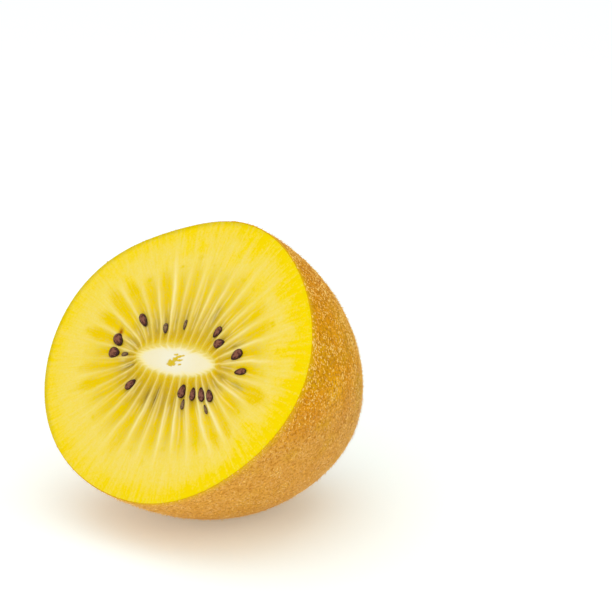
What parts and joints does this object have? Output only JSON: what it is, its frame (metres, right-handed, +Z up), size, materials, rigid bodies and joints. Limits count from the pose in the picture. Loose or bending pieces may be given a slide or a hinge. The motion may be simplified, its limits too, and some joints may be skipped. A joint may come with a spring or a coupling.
{
  "type": "golden kiwi fruit half",
  "caption": "Golden kiwi fruit cut across its middle: yellow flesh with pale rays, a cream core and dark seeds, in brown skin, resting on its side.",
  "frame": {"origin": "centre of the small flat spot that the half rests on", "axes": "+Z up; the cut face looks towards -Y and up, 57 degrees out of the level; +X along the cut face's broad way"},
  "size_m": [0.0572, 0.0494, 0.0523],
  "materials": {
    "skin": "thin golden-brown peel with pale corky specks and short bristles",
    "flesh": "wet, finely grained yellow flesh with pale rays",
    "core": "soft cream-white core",
    "seed": "glossy dark brown seeds"
  },
  "bodies": {
    "root": {"kiwi_half": "skin"}
  },
  "joints": []
}
